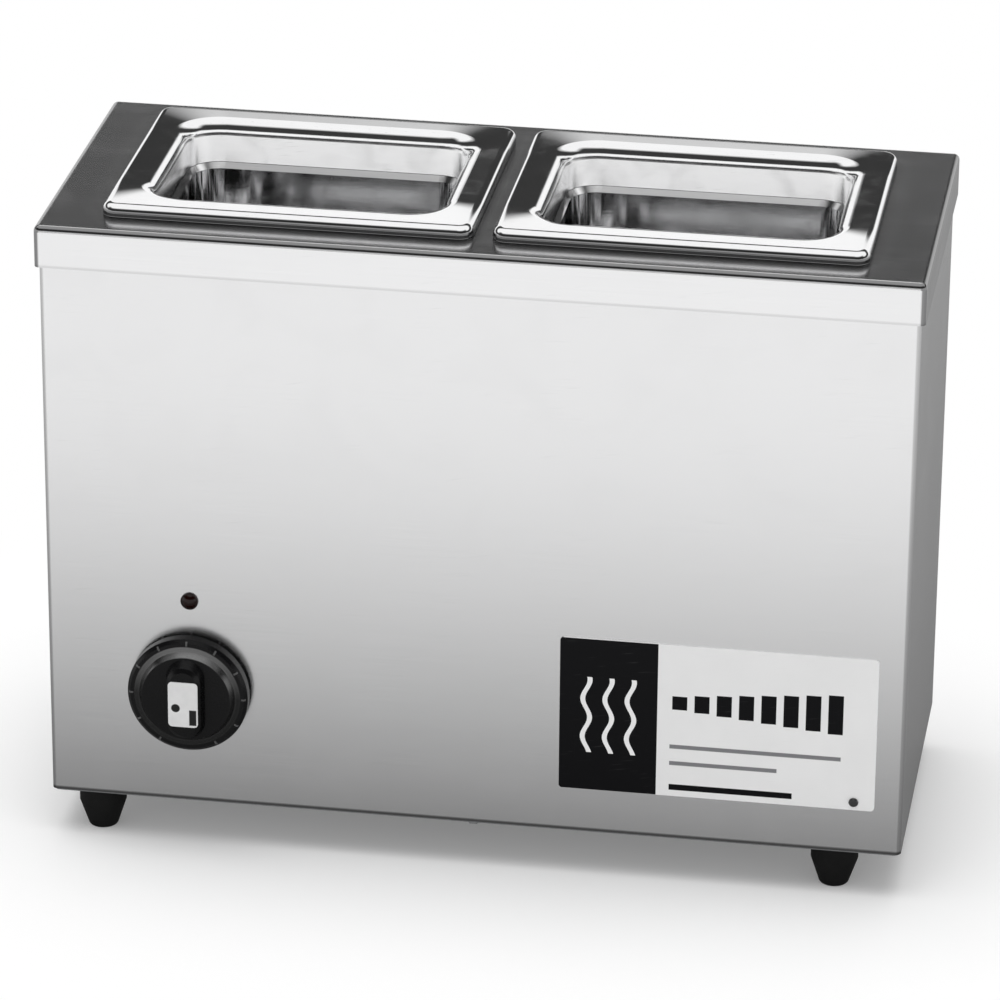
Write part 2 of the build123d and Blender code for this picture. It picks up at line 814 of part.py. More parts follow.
def cover_screws():
    seat = cover_depth / 2
    return Compound(
        children=[Pos(x, seat, z) * Rot(-90, 0, 0) * screw(screw_length) for x, z in cover_screw_places()]
    )


def base_screws():
    return Compound(
        children=[Pos(x, y, base_z) * Rot(180, 0, 0) * screw(screw_length) for x, y in base_screw_places()]
    )


def thermostat_screws():
    half = thermostat_screw_pitch / 2
    length = body_sheet + thermostat_plate + thermostat_screw_reach
    one = screw(length, head=flat_head)
    return Compound(children=[on_front(dial_x + s * half, dial_z) * one for s in (-1, 1)])


def power_leads():
    """Points of each lead that carries the heating current, and of the earth lead."""
    block_face = block_y - block_width / 2 + lead_grip
    live, back, _, earth = [pole_x(n) for n in range(block_poles)]
    feed, switched = dial_x + spade_pitch / 2, dial_x - spade_pitch / 2
    low, high = post_rows()
    way = block_way_z
    return {
        "lead_supply": [
            (live, block_face, way),
            (live, lead_lane_y, way),
            (feed, lead_lane_y, dial_z),
            (feed, spade_y, dial_z),
        ],
        "lead_switched": [
            (switched, spade_y, dial_z),
            (switched, low, dial_z),
            (-post_x, low, dial_z + lead_step),
            (-post_x, low, post_z),
        ],
        "lead_return": [
            (-post_x, high, post_z),
            (-post_x, high, bushing_z),
            (back, lead_lane_y + lead_step, way),
            (back, block_face, way),
        ],
        "lead_earth": [
            (earth, block_face, way),
            (earth, earth_lane_y, way),
            (earth_x, earth_lane_y, way),
            (earth_x, block_y - stud_radius, way),
        ],
    }


def lamp_leads():
    """Points of the two fine leads of the pilot lamp."""
    lamp_in, lamp_out = dial_x - lamp_lead_pitch / 2, dial_x + lamp_lead_pitch / 2
    lamp_turn = lamp_y + 2 * lead_bend
    pole = pole_x(2)
    switched = dial_x - spade_pitch / 2
    on_spade = spade_y - spade_length / 2
    return {
        "lead_lamp_return": [
            (lamp_out, lamp_y, lamp_z),
            (lamp_out, lamp_turn, lamp_z),
            (pole, lamp_turn / 2, block_way_z),
            (pole, block_y - block_width / 2 + lead_grip, block_way_z),
        ],
        "lead_lamp_live": [
            (lamp_in, lamp_y, lamp_z),
            (lamp_in, on_spade, lamp_z),
            (switched, on_spade, lamp_z - 2 * lead_bend),
            (switched, on_spade, dial_z + spade_sheet / 2),
        ],
    }


def save(name, shape):
    export_step(Pos(0, y_shift, 0) * shape, f"parts/{name}.step")


os.makedirs("parts", exist_ok=True)
single_parts = {
    "body_wrap": body_wrap,
    "base_plate": base_plate,
    "rear_panel": rear_panel,
    "top_cover": top_cover,
    "water_tank": water_tank,
    "tank_blanket": blanket,
    "insulation_pad": insulation_pad,
    "heat_baffle": heat_baffle,
    "element_links": element_links,
    "clamp_studs": clamp_studs,
    "clamp_nuts": clamp_nuts,
    "thermostat": thermostat,
    "thermostat_shaft": thermostat_shaft,
    "thermostat_screws": thermostat_screws,
    "dial_knob": dial_knob,
    "dial_insert": dial_insert,
    "sensing_bulb": sensing_bulb,
    "capillary": capillary,
    "bulb_clip": bulb_clip,
    "pilot_lens": pilot_lens,
    "pilot_lamp": pilot_lamp,
    "pilot_nut": pilot_nut,
    "name_plate": name_plate,
    "plate_rivet": plate_rivet,
    "foot_screws": foot_screws,
    "cord_bushing": cord_bushing,
    "bushing_nut": bushing_nut,
    "terminal_block": terminal_block,
    "block_screws": block_screws,
    "earth_stud": earth_stud,
    "earth_nut": earth_nut,
    "rear_screws": rear_screws,
    "cover_screws": cover_screws,
    "base_screws": base_screws,
}
for name, make in single_parts.items():
    save(name, make())
for side, x in pan_places().items():
    save(f"food_pan_{side}", food_pan(x))
    save(f"element_{side}", heating_element(x))
    save(f"element_clamp_{side}", element_clamp(x))
for name, points in power_leads().items():
    save(name, tube(points, lead_radius, lead_bend))
for name, points in lamp_leads().items():
    save(name, tube(points, lamp_lead_radius, lamp_lead_bend))
for place, (x, y) in foot_places().items():
    save(f"foot_{place}", rubber_foot(x, y))
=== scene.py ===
import bpy
import math
from mathutils import Matrix, Vector


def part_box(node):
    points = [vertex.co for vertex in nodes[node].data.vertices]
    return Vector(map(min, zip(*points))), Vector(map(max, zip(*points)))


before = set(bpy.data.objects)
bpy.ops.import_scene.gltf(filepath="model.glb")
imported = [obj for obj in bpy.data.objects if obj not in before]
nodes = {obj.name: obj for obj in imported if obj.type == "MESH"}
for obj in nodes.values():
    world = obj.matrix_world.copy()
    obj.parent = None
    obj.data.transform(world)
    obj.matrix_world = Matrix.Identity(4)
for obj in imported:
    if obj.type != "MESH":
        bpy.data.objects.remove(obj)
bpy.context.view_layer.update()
panNames = ("food_pan_left", "food_pan_right")
print("frame loaded,", len(nodes), "nodes")

scene = bpy.context.scene
scene.view_settings.view_transform = "Standard"


# small helpers for node trees

def feed(tree, socket, value):
    # the value is another node's socket, a number, a colour or a vector
    if isinstance(value, bpy.types.NodeSocket):
        tree.links.new(value, socket)
    else:
        socket.default_value = value


def addNode(tree, kind, **values):
    node = tree.nodes.new(kind)
    for key, value in values.items():
        setattr(node, key, value)
    return node


def mathNode(tree, operation, *values, clamp=False):
    node = addNode(tree, "ShaderNodeMath", operation=operation, use_clamp=clamp)
    for socket, value in zip(node.inputs, values):
        feed(tree, socket, value)
    return node.outputs[0]


def chain(tree, operation, values):
    # one operation over any number of values
    total = values[0]
    for value in values[1:]:
        total = mathNode(tree, operation, total, value)
    return total


def lengthOf(tree, *sides):
    # the straight distance that those sides make
    squares = [mathNode(tree, "MULTIPLY", side, side) for side in sides]
    return mathNode(tree, "SQRT", chain(tree, "ADD", squares))


def axesOf(tree, vector):
    node = addNode(tree, "ShaderNodeSeparateXYZ")
    feed(tree, node.inputs[0], vector)
    return node.outputs


def rampNode(tree, value, start, end, toStart=0.0, toEnd=1.0, curve="LINEAR"):
    # goes from toStart at the start to toEnd at the end, and stays there beyond them
    node = addNode(tree, "ShaderNodeMapRange", interpolation_type=curve)
    for label, number in (("From Min", start), ("From Max", end), ("To Min", toStart), ("To Max", toEnd)):
        node.inputs[label].default_value = number
    feed(tree, node.inputs["Value"], value)
    return node.outputs["Result"]


def noiseNode(tree, vector, **values):
    node = addNode(tree, "ShaderNodeTexNoise")
    feed(tree, node.inputs["Vector"], vector)
    for label, value in values.items():
        feed(tree, node.inputs[label], value)
    return node.outputs["Fac"]


def stretched(tree, vector, stretch):
    node = addNode(tree, "ShaderNodeVectorMath", operation="MULTIPLY")
    feed(tree, node.inputs[0], vector)
    feed(tree, node.inputs[1], stretch)
    return node.outputs[0]


def mixNode(tree, sockets, values, **kinds):
    node = addNode(tree, "ShaderNodeMix", **kinds)
    for index, value in zip(sockets, values):
        feed(tree, node.inputs[index], value)
    return node


def mixValue(tree, factor, a, b):
    # a Mix node has its numbers on sockets 2 and 3, and its colours on 6 and 7
    return mixNode(tree, (0, 2, 3), (factor, a, b)).outputs[0]


def mixColour(tree, factor, a, b, blend="MIX"):
    a, b = ((*value, 1.0) if isinstance(value, (tuple, list)) else value for value in (a, b))
    return mixNode(tree, (0, 6, 7), (factor, a, b), data_type="RGBA", blend_type=blend).outputs[2]


def newGroup(name, inputs, outputs):
    # inputs are (name, kind, default), and outputs are the names of its numbers
    group = bpy.data.node_groups.new(name, "ShaderNodeTree")
    for label, kind, value in inputs:
        socket = group.interface.new_socket(label, in_out="INPUT", socket_type="NodeSocket" + kind)
        if value is not None:
            socket.default_value = value
    for label in outputs:
        group.interface.new_socket(label, in_out="OUTPUT", socket_type="NodeSocketFloat")
    return group, group.nodes.new("NodeGroupInput").outputs, group.nodes.new("NodeGroupOutput").inputs


def useGroup(tree, group, **values):
    node = addNode(tree, "ShaderNodeGroup", node_tree=group)
    for key, value in values.items():
        feed(tree, node.inputs[key.replace("_", " ")], value)
    return node.outputs


# effects that several materials share
effectSettings = {
    "grainRoughness": 0.62,
    "cloudScale": 9.0,
    "cloudDetail": 3.0,
    "streakSpan": (0.3, 0.7),  # noise values that become 0 and 1
    "scratchTilt": (0.35, 0.12, 0.1),
    "scratchDetail": 1.0,
    "scratchSpan": (0.69, 0.78),
    "smudgeDetail": 5.0,
    "smudgeDistortion": 0.8,
    "smudgeSpan": (0.48, 0.74),
    "fineDetail": 3.0,
    "broadDetail": 2.0,
    "bendSpan": (0.998, 0.95),  # the normal's largest part where a bend starts, and where it counts in full
    "levelFrom": 0.9,  # the normal's part along Z from which a face lies level
}


def makeGrainGroup():
    # long streaks: the stretch is small along the grain and large across it
    group, given, result = newGroup(
        "Brushed grain",
        [("Vector", "Vector", None), ("Stretch", "Vector", (8, 900, 900)), ("Detail", "Float", 4.0)],
        ["Streak", "Cloud"],
    )
    fine = noiseNode(group, stretched(group, given["Vector"], given["Stretch"]), Scale=1.0,
                     Roughness=effectSettings["grainRoughness"], Detail=given["Detail"])
    cloud = noiseNode(group, given["Vector"], Scale=effectSettings["cloudScale"],
                      Detail=effectSettings["cloudDetail"])
    feed(group, result["Streak"], rampNode(group, fine, *effectSettings["streakSpan"]))
    feed(group, result["Cloud"], cloud)
    return group


def makeWearGroup():
    # sparse hairline scratches, and smudges left by hands and cloths
    group, given, result = newGroup(
        "Handling wear",
        [("Vector", "Vector", None), ("Scratch Stretch", "Vector", (16, 1500, 1500)),
         ("Smudge Scale", "Float", 26.0)],
        ["Scratch", "Smudge"],
    )
    turned = addNode(group, "ShaderNodeVectorRotate", rotation_type="EULER_XYZ")
    feed(group, turned.inputs["Rotation"], effectSettings["scratchTilt"])
    feed(group, turned.inputs["Vector"], given["Vector"])
    scratch = noiseNode(group, stretched(group, turned.outputs[0], given["Scratch Stretch"]), Scale=1.0,
                        Detail=effectSettings["scratchDetail"])
    smudge = noiseNode(group, given["Vector"], Scale=given["Smudge Scale"],
                       Detail=effectSettings["smudgeDetail"], Distortion=effectSettings["smudgeDistortion"])
    feed(group, result["Scratch"], rampNode(group, scratch, *effectSettings["scratchSpan"]))
    feed(group, result["Smudge"], rampNode(group, smudge, *effectSettings["smudgeSpan"]))
    return group


def makeSpeckGroup():
    # fine pits and broad patches for mouldings, mats and print
    group, given, result = newGroup(
        "Speck",
        [("Vector", "Vector", None), ("Scale", "Float", 900.0), ("Patch", "Float", 30.0)],
        ["Fine", "Broad"],
    )
    for name, scale, detail in (("Fine", "Scale", "fineDetail"), ("Broad", "Patch", "broadDetail")):
        speck = noiseNode(group, given["Vector"], Scale=given[scale], Detail=effectSettings[detail])
        feed(group, result[name], speck)
    return group


def makeBoxMaskGroup():
    # 1 inside a rectangle of the X-Z plane, with softened borders
    group, given, result = newGroup(
        "Box mask",
        [("Vector", "Vector", None), ("X", "Float", 0.0), ("Z", "Float", 0.0), ("Half X", "Float", 0.01),
         ("Half Z", "Float", 0.01), ("Soft", "Float", 0.0001)],
        ["Mask"],
    )
    parts = axesOf(group, given["Vector"])
    sides = []
    for axis in ("X", "Z"):
        away = mathNode(group, "ABSOLUTE", mathNode(group, "SUBTRACT", parts[axis], given[axis]))
        room = mathNode(group, "SUBTRACT", given["Half " + axis], away)
        sides.append(mathNode(group, "DIVIDE", room, given["Soft"], clamp=True))
    feed(group, result["Mask"], mathNode(group, "MINIMUM", *sides))
    return group


def makeDiscMaskGroup():
    # 1 inside a ring of the X-Z plane, with the distance from its middle and the turn away from its top
    group, given, result = newGroup(
        "Disc mask",
        [("Vector", "Vector", None), ("X", "Float", 0.0), ("Z", "Float", 0.0), ("Inner", "Float", 0.0),
         ("Outer", "Float", 0.01), ("Soft", "Float", 0.0001)],
        ["Mask", "Radius", "Turn"],
    )
    parts = axesOf(group, given["Vector"])
    offsets = [mathNode(group, "SUBTRACT", parts[axis], given[axis]) for axis in ("X", "Z")]
    radius = lengthOf(group, *offsets)
    sides = []
    for more, less in ((given["Outer"], radius), (radius, given["Inner"])):
        room = mathNode(group, "SUBTRACT", more, less)
        sides.append(mathNode(group, "DIVIDE", room, given["Soft"], clamp=True))
    feed(group, result["Mask"], mathNode(group, "MINIMUM", *sides))
    feed(group, result["Radius"], radius)
    feed(group, result["Turn"], mathNode(group, "ARCTAN2", *offsets))
    return group


def makeBendMaskGroup():
    # 1 where the surface turns from one axis to another, as on a folded edge, and 1 where it lies level
    group, given, result = newGroup("Bend mask", [("Normal", "Vector", None)], ["Mask", "Level"])
    steep = addNode(group, "ShaderNodeVectorMath", operation="ABSOLUTE")
    feed(group, steep.inputs[0], given["Normal"])
    parts = axesOf(group, steep.outputs[0])
    most = chain(group, "MAXIMUM", [parts[axis] for axis in ("X", "Y", "Z")])
    feed(group, result["Mask"], rampNode(group, most, *effectSettings["bendSpan"]))
    feed(group, result["Level"], mathNode(group, "GREATER_THAN", parts["Z"], effectSettings["levelFrom"]))
    return group


grainGroup = makeGrainGroup()
wearGroup = makeWearGroup()
speckGroup = makeSpeckGroup()
boxMaskGroup = makeBoxMaskGroup()
discMaskGroup = makeDiscMaskGroup()
bendMaskGroup = makeBendMaskGroup()


def startMaterial(name):
    material = bpy.data.materials.new(name)
    material.use_nodes = True
    tree = material.node_tree
    place = addNode(tree, "ShaderNodeTexCoord").outputs["Object"]
    return material, tree, tree.nodes["Principled BSDF"].inputs, place


def addBump(tree, shader, height, strength=1.0, distance=1.0):
    bump = addNode(tree, "ShaderNodeBump")
    feed(tree, bump.inputs["Strength"], strength)
    feed(tree, bump.inputs["Distance"], distance)
    feed(tree, bump.inputs["Height"], height)
    feed(tree, shader["Normal"], bump.outputs["Normal"])


def toned(colour, tone):
    return [channel * tone for channel in colour]


def shaded(tree, colour, mask, tone):
    # the colour, made as bright as the tone says where the mask is 1
    return mixColour(tree, mask, colour, mixColour(tree, 1.0, colour, [tone] * 3, "MULTIPLY"))


# sheet steel: streaks in colour, roughness and height, hairline scratches and smudges
steelSettings = {
    "hazeTone": 0.86,  # how bright hazy patches are against the clean sheet
    "scratchTone": 0.6,  # and scratches
    "smudge": 26.0,  # scale of the smudges, where a look gives none
    "smudgeRough": 0.2,
    "endFacing": 0.7,  # the normal's part along X from which a face is an end
    "streakHeight": 0.00001,  # metres, for a bump of 1
}


def steel(name, look):
    material, tree, shader, place = startMaterial(name)
    grain = useGroup(tree, grainGroup, Vector=place, Stretch=look["stretch"], Detail=look["detail"])
    wear = useGroup(tree, wearGroup, Vector=place, Smudge_Scale=look.get("smudge", steelSettings["smudge"]))
    streak = grain["Streak"]
    if "endStretch" in look:
        # the grain turns the corner on the faces that look along X
        ends = useGroup(tree, grainGroup, Vector=place, Stretch=look["endStretch"], Detail=look["detail"])
        facing = axesOf(tree, addNode(tree, "ShaderNodeNewGeometry").outputs["True Normal"])
        sideways = mathNode(tree, "ABSOLUTE", facing["X"])
        isEnd = mathNode(tree, "GREATER_THAN", sideways, steelSettings["endFacing"])
        streak = mixValue(tree, isEnd, streak, ends["Streak"])
    colour = mixColour(tree, streak, toned(look["colour"], 1 - look["contrast"]), look["colour"])
    hazy = mathNode(tree, "MULTIPLY", grain["Cloud"], look["haze"])
    colour = mixColour(tree, hazy, colour, toned(look["colour"], steelSettings["hazeTone"]))
    scratched = mathNode(tree, "MULTIPLY", wear["Scratch"], look["wear"])
    colour = mixColour(tree, scratched, colour, toned(look["colour"], steelSettings["scratchTone"]))
    rough = mathNode(tree, "MULTIPLY_ADD", streak, look["roughSpread"], look["rough"])
    # the zones paint shade into the colour and change the roughness
    if "zones" in look:
        colour, rough = look["zones"](tree, place, colour, rough)
    rough = mathNode(tree, "MULTIPLY_ADD", wear["Smudge"], look["wear"] * steelSettings["smudgeRough"], rough)
    feed(tree, shader["Base Color"], colour)
    feed(tree, shader["Roughness"], rough)
    feed(tree, shader["Metallic"], 1.0)
    if "drawn" in look:
        # highlights are drawn out across the grain
        feed(tree, shader["Anisotropic"], look["drawn"])
        feed(tree, shader["Anisotropic Rotation"], look["turn"])
        tangent = addNode(tree, "ShaderNodeTangent", direction_type="RADIAL", axis=look["axis"])
        feed(tree, shader["Tangent"], tangent.outputs[0])
    height = mathNode(tree, "MULTIPLY", streak, look["bump"] * steelSettings["streakHeight"])
    if "relief" in look:
        height = mathNode(tree, "ADD", height, look["relief"](tree, place))
    addBump(tree, shader, height)
    return material


def speckle(tree, shader, place, look):
    # fine pits and broad patches, with the pits in the roughness
    speck = useGroup(tree, speckGroup, Vector=place, Scale=look["scale"], Patch=look["patch"])
    rough = mathNode(tree, "MULTIPLY_ADD", speck["Fine"], look["roughSpread"], look["rough"])
    feed(tree, shader["Roughness"], rough)
    if "gloss" in look:
        feed(tree, shader["Specular IOR Level"], look["gloss"])
    return speck


def moulding(name, look):
    # plastics, rubber and mats
    material, tree, shader, place = startMaterial(name)
    speck = speckle(tree, shader, place, look)
    dark = toned(look["colour"], 1 - look["contrast"])
    feed(tree, shader["Base Color"], mixColour(tree, speck["Broad"], dark, look["colour"]))
    addBump(tree, shader, speck["Fine"], look["bump"], look["depth"])
    return material


def paint(material, *names):
    for name in names:
        for slot in nodes[name].material_slots:
            slot.material = material


# the casing and its cover
casingSettings = {
    "coverColour": (0.88, 0.88, 0.885),
    "bodyColour": (0.9, 0.9, 0.905),
    "coverRough": 0.14,
    "bodyRough": 0.22,
    "bendShadeTone": 0.3,  # how bright the cover's bends are against the flat sheet, as painted shade
    "rimShadeTone": 0.5,  # and the strip round each pan, as painted shade round the rims
    "ringWidth": 0.013,
    "ringCorner": 0.012,
    "ringRough": 0.05,
    "skirtStrip": 0.0012,  # height of the painted shade line along the skirt's foot
    "skirtShadeTone": 0.82,
    "cornerShadeTone": 0.7,  # painted shade on the casing's corners and bends
    "footShadeStrip": 0.0014,  # height of the painted shadow strip along the casing's foot
    "footShadeTone": 0.22,
    "stripSoft": 0.0006,  # how far both lines fade out above and below their height
}
sheetLook = {"contrast": 0.04, "haze": 0.2, "roughSpread": 0.03, "detail": 4.0, "wear": 0.12}


def awayFrom(tree, place, name, inset):
    # distance outward, seen from above, from a node's box drawn in by the inset
    low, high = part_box(name)
    middle, half = (low + high) / 2, (high - low) / 2
    parts = axesOf(tree, place)
    sides = []
    for axis, centre, reach in (("X", middle.x, half.x - inset), ("Y", middle.y, half.y - inset)):
        away = mathNode(tree, "ABSOLUTE", mathNode(tree, "SUBTRACT", parts[axis], centre))
        sides.append(mathNode(tree, "MAXIMUM", mathNode(tree, "SUBTRACT", away, reach), 0.0))
    return lengthOf(tree, *sides)


def footLine(tree, place, name, height):
    # 1 in a strip along a node's foot, where a painted shade line goes
    edge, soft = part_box(name)[0].z + height, casingSettings["stripSoft"]
    return rampNode(tree, axesOf(tree, place)["Z"], edge + soft, edge - soft, curve="SMOOTHSTEP")


def bendMask(tree):
    return useGroup(tree, bendMaskGroup, Normal=addNode(tree, "ShaderNodeNewGeometry").outputs["Normal"])


def bodyZones(tree, place, colour, rough):
    # painted shade on the casing's bends
    colour = shaded(tree, colour, bendMask(tree)["Mask"], casingSettings["cornerShadeTone"])
    # a painted shadow strip along the casing's foot
    line = footLine(tree, place, "body_wrap", casingSettings["footShadeStrip"])
    return shaded(tree, colour, line, casingSettings["footShadeTone"]), rough


def coverZones(tree, place, colour, rough):
    bend = bendMask(tree)
    # painted shade in a strip round each pan's rim, on level faces only, where the sheet is also rougher
    corner, width = casingSettings["ringCorner"], casingSettings["ringWidth"]
    rimShades = [rampNode(tree, awayFrom(tree, place, name, corner), corner + width, corner, curve="SMOOTHSTEP")
             for name in panNames]
    ring = mathNode(tree, "MULTIPLY", mathNode(tree, "MAXIMUM", *rimShades), bend["Level"])
    # painted shade on the cover's bends
    colour = shaded(tree, colour, bend["Mask"], casingSettings["bendShadeTone"])
    colour = shaded(tree, colour, ring, casingSettings["rimShadeTone"])
    # a painted shade line along the skirt's foot
    line = footLine(tree, place, "top_cover", casingSettings["skirtStrip"])
    colour = shaded(tree, colour, line, casingSettings["skirtShadeTone"])
    return colour, mathNode(tree, "MULTIPLY_ADD", ring, casingSettings["ringRough"], rough)


coverSteel = steel("cover steel", {
    **sheetLook, "colour": casingSettings["coverColour"], "rough": casingSettings["coverRough"], "bump": 0.04,
    "stretch": (14, 2600, 2600), "endStretch": (14, 14, 2600), "drawn": 0.4, "axis": "X", "turn": 0.0,
    "zones": coverZones,
})
bodySteel = steel("body steel", {
    **sheetLook, "colour": casingSettings["bodyColour"], "rough": casingSettings["bodyRough"], "bump": 0.08,
    "stretch": (14, 14, 2600), "drawn": 0.5, "axis": "Z", "turn": 0.25, "zones": bodyZones,
})
paint(coverSteel, "top_cover")
paint(bodySteel, "body_wrap", "rear_panel")
print("casing painted")

# the food pans: polished, with a satin neck above the shoulder, and rims that dip a little to the opening
panSettings = {
    "colour": (0.94, 0.94, 0.945),
    "belowShoulderShade": 0.9,  # share of that colour kept below the shoulder, as painted shade deep in the pan
    "neck": (0.0205, 0.0055),  # from how far to how near below the rim's top the satin neck runs
    "neckSoft": (0.0006, 0.0015),  # and over how much it starts and ends
    "neckRough": 0.14,
    "neckFlare": 0.31,  # slope of the neck, in metres per metre
    "rimDip": 0.14,  # slope of the rim
    "rimWidth": 0.0195,
    "cornerRadius": 0.016,
    "edge": (0.0014, 0.0032),  # from where to where below the rim's top its turned-down edge gets painted shade
    "edgeDepth": 0.0045,
    "edgeCorner": 0.012,
    "edgeShadeTone": 0.25,
}
panLook = {"contrast": 0.04, "haze": 0.15, "rough": 0.05, "roughSpread": 0.03, "detail": 3.0,
           "stretch": (60, 60, 900), "bump": 0.15, "wear": 0.3, "smudge": 60.0}


def panSteel(name):
    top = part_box(name)[1].z
    foot, head = (top - drop for drop in panSettings["neck"])

    def relief(tree, place):
        # the rim rises outward from the opening's rounded outline, and the neck leans out as it rises
        outward = awayFrom(tree, place, name, panSettings["rimWidth"] + panSettings["cornerRadius"])
        lean = panSettings["neckFlare"] * (head - foot)
        flare = rampNode(tree, axesOf(tree, place)["Z"], foot, head, lean, 0.0)
        return mathNode(tree, "ADD", mathNode(tree, "MULTIPLY", outward, panSettings["rimDip"]), flare)

    def zones(tree, place, colour, rough):
        height = axesOf(tree, place)["Z"]
        footSoft, headSoft = panSettings["neckSoft"]
        above = rampNode(tree, height, foot - footSoft, foot + footSoft, curve="SMOOTHSTEP")
        below = rampNode(tree, height, head + headSoft, head - headSoft, curve="SMOOTHSTEP")
        neck = mathNode(tree, "MULTIPLY", above, below)
        rough = mathNode(tree, "MULTIPLY_ADD", neck, panSettings["neckRough"], rough)
        # painted shade below the shoulder, deep in the pan
        shadedDeep = mixColour(tree, 1.0, colour, [panSettings["belowShoulderShade"]] * 3, "MULTIPLY")
        colour = mixColour(tree, above, shadedDeep, colour)
        # painted shade on the turned-down edge, where it stands on the cover
        start, end = (top - drop for drop in panSettings["edge"])
        corner = panSettings["edgeCorner"]
        outward = awayFrom(tree, place, name, corner)
        outer = mathNode(tree, "GREATER_THAN", outward, corner - panSettings["edgeDepth"])
        edge = mathNode(tree, "MULTIPLY", rampNode(tree, height, start, end, curve="SMOOTHSTEP"), outer)
        return shaded(tree, colour, edge, panSettings["edgeShadeTone"]), rough

    return steel("pan steel " + name.removeprefix("food_pan_"),
                 {**panLook, "colour": panSettings["colour"], "relief": relief, "zones": zones})


for name in panNames:
    paint(panSteel(name), name)
print("pans painted")

# plain sheet, sheath and fasteners
plainLook = {"contrast": 0.12, "haze": 0.5, "rough": 0.26, "roughSpread": 0.14, "detail": 5.0,
             "stretch": (220, 220, 700), "bump": 1.5, "wear": 0.4}
plainSettings = {
    "tank steel": {"colour": (0.86, 0.86, 0.87), "nodes": ["water_tank", "bulb_clip"]},
    "mill steel": {"colour": (0.5, 0.51, 0.52),
                   "nodes": ["base_plate", "heat_baffle", "element_clamp_left", "element_clamp_right"]},
    "heated sheath": {"colour": (0.42, 0.39, 0.36), "nodes": ["element_left", "element_right"]},
    "zinc plate": {"colour": (0.62, 0.63, 0.64),
                   "nodes": ["clamp_studs", "clamp_nuts", "thermostat_screws", "foot_screws", "block_screws",
                             "earth_stud", "earth_nut", "rear_screws", "cover_screws", "base_screws",
                             "pilot_nut", "element_links"]},
    "turned steel": {"colour": (0.6, 0.6, 0.6), "nodes": ["thermostat_shaft"]},
    "drawn copper": {"colour": (0.72, 0.43, 0.3), "nodes": ["sensing_bulb", "capillary"]},
    "dark rivet": {"colour": (0.12, 0.12, 0.12), "nodes": ["plate_rivet"]},
}
for name, look in plainSettings.items():
    paint(steel(name, {**plainLook, **look}), *look["nodes"])
print("plain metal painted")

# mouldings, rubber and mats
mouldedSettings = {
    "lens amber": {"colour": (0.01, 0.0016, 0.001), "contrast": 0.2, "rough": 0.12, "roughSpread": 0.05,
                   "scale": 1800.0, "patch": 300.0, "bump": 0.05, "depth": 0.00005, "gloss": 0.3,
                   "nodes": ["pilot_lens"]},
    "phenolic": {"colour": (0.05, 0.045, 0.042), "contrast": 0.3, "rough": 0.45, "roughSpread": 0.2,
                 "scale": 1500.0, "patch": 80.0, "bump": 0.3, "depth": 0.0001,
                 "nodes": ["thermostat", "pilot_lamp"]},
    "foot rubber": {"colour": (0.01, 0.01, 0.01), "contrast": 0.35, "rough": 0.5, "roughSpread": 0.25,
                    "scale": 1600.0, "patch": 90.0, "bump": 0.5, "depth": 0.0001, "gloss": 0.2,
                    "nodes": ["foot_front_left", "foot_front_right", "foot_rear_left", "foot_rear_right"]},
    "bushing nylon": {"colour": (0.03, 0.03, 0.03), "contrast": 0.2, "rough": 0.4, "roughSpread": 0.15,
                      "scale": 1600.0, "patch": 90.0, "bump": 0.25, "depth": 0.0001,
                      "nodes": ["cord_bushing", "bushing_nut"]},
    "block thermoset": {"colour": (0.66, 0.63, 0.55), "contrast": 0.12, "rough": 0.5, "roughSpread": 0.2,
                        "scale": 1200.0, "patch": 120.0, "bump": 0.3, "depth": 0.0001,
                        "nodes": ["terminal_block"]},
    "glass fibre": {"colour": (0.74, 0.69, 0.53), "contrast": 0.3, "rough": 0.8, "roughSpread": 0.2,
                    "scale": 700.0, "patch": 160.0, "bump": 1.0, "depth": 0.0008,
                    "nodes": ["tank_blanket", "insulation_pad"]},
    "lead sleeve": {"colour": (0.55, 0.5, 0.42), "contrast": 0.35, "rough": 0.7, "roughSpread": 0.2,
                    "scale": 2600.0, "patch": 900.0, "bump": 0.8, "depth": 0.0002,
                    "nodes": [name for name in nodes if name.startswith("lead_")]},
}
for name, look in mouldedSettings.items():
    paint(moulding(name, look), *look["nodes"])
print("mouldings painted")

# the dial: satin black with fine grey marks round its skirt, which falls away round the crown in the bump
dialSettings = {
    "colour": (0.005, 0.005, 0.0055),
    "patchTone": 0.6,
    "scale": 2600.0,
    "patch": 60.0,
    "rough": 0.2,
    "roughSpread": 0.12,
    "gloss": 0.22,
    "pitDepth": 0.00002,
    "mark": (0.09, 0.09, 0.09),
    "markRing": (0.0264, 0.0288),
    "markSoft": 0.0002,
    "markStep": 30.0,  # degrees from mark to mark
    "markHalf": 1.0,  # degrees from a mark's middle to its side
    "markSpan": 151.0,  # degrees each way from the top
    "fall": (0.0236, 0.0262),  # radii between which the skirt falls away from the crown
    "fallSlope": 1.2,
    "rubbedFrom": 0.0215,  # from here out to the end of that fall the dial has a glossy coat
    "rubbedSoft": 0.0004,
    "rubbedTone": (0.008, 0.008, 0.008),
    "shineIndex": 2.7,
    "shineRough": 0.22,
    "leastTopSheen": 0.12,
    "gripDepth": 0.0058,  # how far the grip stands before the crown
}


